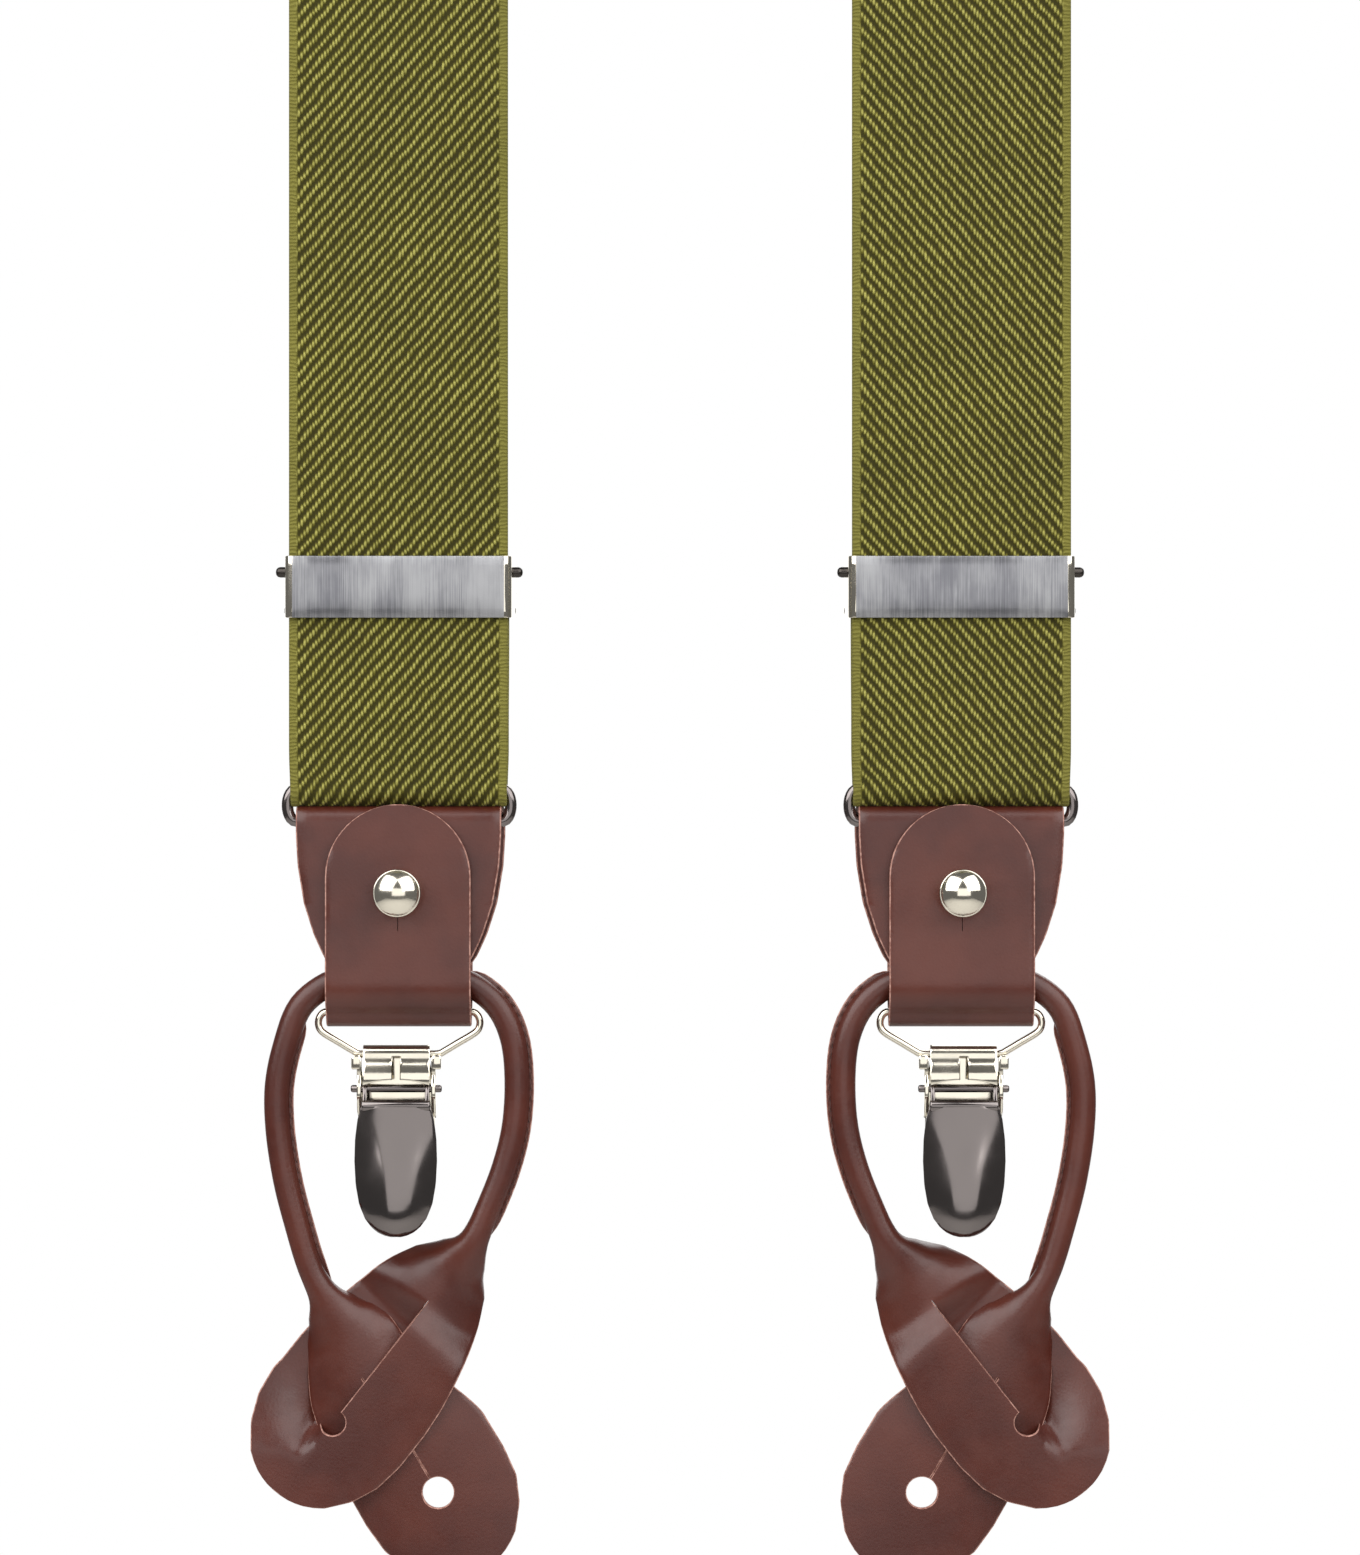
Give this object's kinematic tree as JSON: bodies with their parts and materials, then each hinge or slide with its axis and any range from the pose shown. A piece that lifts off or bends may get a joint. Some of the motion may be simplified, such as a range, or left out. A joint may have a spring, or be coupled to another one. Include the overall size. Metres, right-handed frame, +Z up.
{
  "type": "suspenders",
  "caption": "Convertible Y-back trouser suspenders of wide elastic webbing, with leather-mounted clips, rolled leather button loops and sliding metal adjusters.",
  "frame": {"origin": "on the axis of the hanger bar that the suspenders hang over, midway between the front straps", "axes": "+Z up, the front straps and their clip covers facing -Y, the leather back patch facing +Y, +X to the right as seen from the front"},
  "size_m": [0.1372, 0.0482, 0.701],
  "materials": {
    "webbing": "olive green ribbed elastic webbing, matte",
    "leather": "smooth reddish brown, slight sheen",
    "dark_nickel": "smoky black nickel, polished",
    "bright_nickel": "polished nickel",
    "satin_steel": "satin, brushed along its length",
    "grip_plastic": "ribbed, matt"
  },
  "bodies": {
    "root": {"front_strap_left": "webbing", "front_strap_right": "webbing", "strap_end_left": "webbing", "strap_end_right": "webbing", "patch_outer": "leather", "patch_inner": "leather", "back_strap": "webbing", "ring_rear": "dark_nickel"},
    "adjuster_left": {"adjuster_cover_left": "satin_steel", "adjuster_axle_left": "satin_steel", "adjuster_bar_left": "satin_steel"},
    "lever_left": {"adjuster_lever_left": "satin_steel"},
    "ring_left": {"ring_left": "dark_nickel"},
    "holder_left": {"leather_holder_left": "leather", "clip_tab_left": "leather", "stud_left": "bright_nickel", "stud_screw_left": "bright_nickel"},
    "loop_left": {"button_loop_left": "leather"},
    "bail_left": {"clip_bail_left": "bright_nickel"},
    "clip_left": {"clip_body_left": "bright_nickel", "clip_pin_left": "bright_nickel", "clip_spring_left": "bright_nickel", "clip_pad_left": "grip_plastic"},
    "cover_left": {"clip_cover_left": "dark_nickel"},
    "adjuster_right": {"adjuster_cover_right": "satin_steel", "adjuster_axle_right": "satin_steel", "adjuster_bar_right": "satin_steel"},
    "lever_right": {"adjuster_lever_right": "satin_steel"},
    "ring_right": {"ring_right": "dark_nickel"},
    "holder_right": {"leather_holder_right": "leather", "clip_tab_right": "leather", "stud_right": "bright_nickel", "stud_screw_right": "bright_nickel"},
    "loop_right": {"button_loop_right": "leather"},
    "bail_right": {"clip_bail_right": "bright_nickel"},
    "clip_right": {"clip_body_right": "bright_nickel", "clip_pin_right": "bright_nickel", "clip_spring_right": "bright_nickel", "clip_pad_right": "grip_plastic"},
    "cover_right": {"clip_cover_right": "dark_nickel"},
    "holder_rear": {"leather_holder_rear": "leather", "clip_tab_rear": "leather", "stud_rear": "bright_nickel", "stud_screw_rear": "bright_nickel"},
    "loop_rear": {"button_loop_rear": "leather"},
    "bail_rear": {"clip_bail_rear": "bright_nickel"},
    "clip_rear": {"clip_body_rear": "bright_nickel", "clip_pin_rear": "bright_nickel", "clip_spring_rear": "bright_nickel", "clip_pad_rear": "grip_plastic"},
    "cover_rear": {"clip_cover_rear": "dark_nickel"}
  },
  "joints": [
    {"name": "adjuster_slide_left", "type": "slide", "parent": "root", "child": "adjuster_left", "axis": [0, 0, 1], "range_m": [0, 0.1], "deforming": ["strap_end_left"]},
    {"name": "adjuster_lever_left", "type": "hinge", "parent": "adjuster_left", "child": "lever_left", "pos_m": [-0.045, -0.0134, -0.523], "axis": [1, 0, 0], "range_deg": [0, 100]},
    {"name": "end_follow_left", "type": "slide", "parent": "adjuster_left", "child": "ring_left", "axis": [0, 0, -1], "range_m": [0, 0.05]},
    {"name": "end_swing_left", "type": "hinge", "parent": "ring_left", "child": "holder_left", "pos_m": [-0.045, -0.01395, -0.5632], "axis": [1, 0, 0], "range_deg": [-15, 40]},
    {"name": "loop_swing_left", "type": "hinge", "parent": "holder_left", "child": "loop_left", "pos_m": [-0.045, -0.01395, -0.5881], "axis": [1, 0, 0], "range_deg": [-25, 25]},
    {"name": "clip_swing_left", "type": "hinge", "parent": "holder_left", "child": "bail_left", "pos_m": [-0.045, -0.01395, -0.59345], "axis": [1, 0, 0], "range_deg": [-45, 45]},
    {"name": "clip_tilt_left", "type": "hinge", "parent": "bail_left", "child": "clip_left", "pos_m": [-0.045, -0.01395, -0.6002], "axis": [1, 0, 0], "range_deg": [-35, 35]},
    {"name": "clip_open_left", "type": "hinge", "parent": "clip_left", "child": "cover_left", "pos_m": [-0.045, -0.0151, -0.6057], "axis": [-1, 0, 0], "range_deg": [0, 55]},
    {"name": "adjuster_slide_right", "type": "slide", "parent": "root", "child": "adjuster_right", "axis": [0, 0, 1], "range_m": [0, 0.1], "deforming": ["strap_end_right"]},
    {"name": "adjuster_lever_right", "type": "hinge", "parent": "adjuster_right", "child": "lever_right", "pos_m": [0.045, -0.0134, -0.523], "axis": [1, 0, 0], "range_deg": [0, 100]},
    {"name": "end_follow_right", "type": "slide", "parent": "adjuster_right", "child": "ring_right", "axis": [0, 0, -1], "range_m": [0, 0.05]},
    {"name": "end_swing_right", "type": "hinge", "parent": "ring_right", "child": "holder_right", "pos_m": [0.045, -0.01395, -0.5632], "axis": [1, 0, 0], "range_deg": [-15, 40]},
    {"name": "loop_swing_right", "type": "hinge", "parent": "holder_right", "child": "loop_right", "pos_m": [0.045, -0.01395, -0.5881], "axis": [1, 0, 0], "range_deg": [-25, 25]},
    {"name": "clip_swing_right", "type": "hinge", "parent": "holder_right", "child": "bail_right", "pos_m": [0.045, -0.01395, -0.59345], "axis": [1, 0, 0], "range_deg": [-45, 45]},
    {"name": "clip_tilt_right", "type": "hinge", "parent": "bail_right", "child": "clip_right", "pos_m": [0.045, -0.01395, -0.6002], "axis": [1, 0, 0], "range_deg": [-35, 35]},
    {"name": "clip_open_right", "type": "hinge", "parent": "clip_right", "child": "cover_right", "pos_m": [0.045, -0.0151, -0.6057], "axis": [-1, 0, 0], "range_deg": [0, 55]},
    {"name": "end_swing_rear", "type": "hinge", "parent": "root", "child": "holder_rear", "pos_m": [0, 0.01395, -0.2932], "axis": [-1, 0, 0], "range_deg": [-15, 40]},
    {"name": "loop_swing_rear", "type": "hinge", "parent": "holder_rear", "child": "loop_rear", "pos_m": [0, 0.01395, -0.3181], "axis": [-1, 0, 0], "range_deg": [-25, 25]},
    {"name": "clip_swing_rear", "type": "hinge", "parent": "holder_rear", "child": "bail_rear", "pos_m": [0, 0.01395, -0.32345], "axis": [-1, 0, 0], "range_deg": [-45, 45]},
    {"name": "clip_tilt_rear", "type": "hinge", "parent": "bail_rear", "child": "clip_rear", "pos_m": [0, 0.01395, -0.3302], "axis": [-1, 0, 0], "range_deg": [-35, 35]},
    {"name": "clip_open_rear", "type": "hinge", "parent": "clip_rear", "child": "cover_rear", "pos_m": [0, 0.0151, -0.3357], "axis": [1, 0, 0], "range_deg": [0, 55]}
  ],
  "couplings": [
    {"joint": "end_follow_left", "follows": "adjuster_slide_left", "ratio": 0.5},
    {"joint": "end_follow_right", "follows": "adjuster_slide_right", "ratio": 0.5}
  ]
}
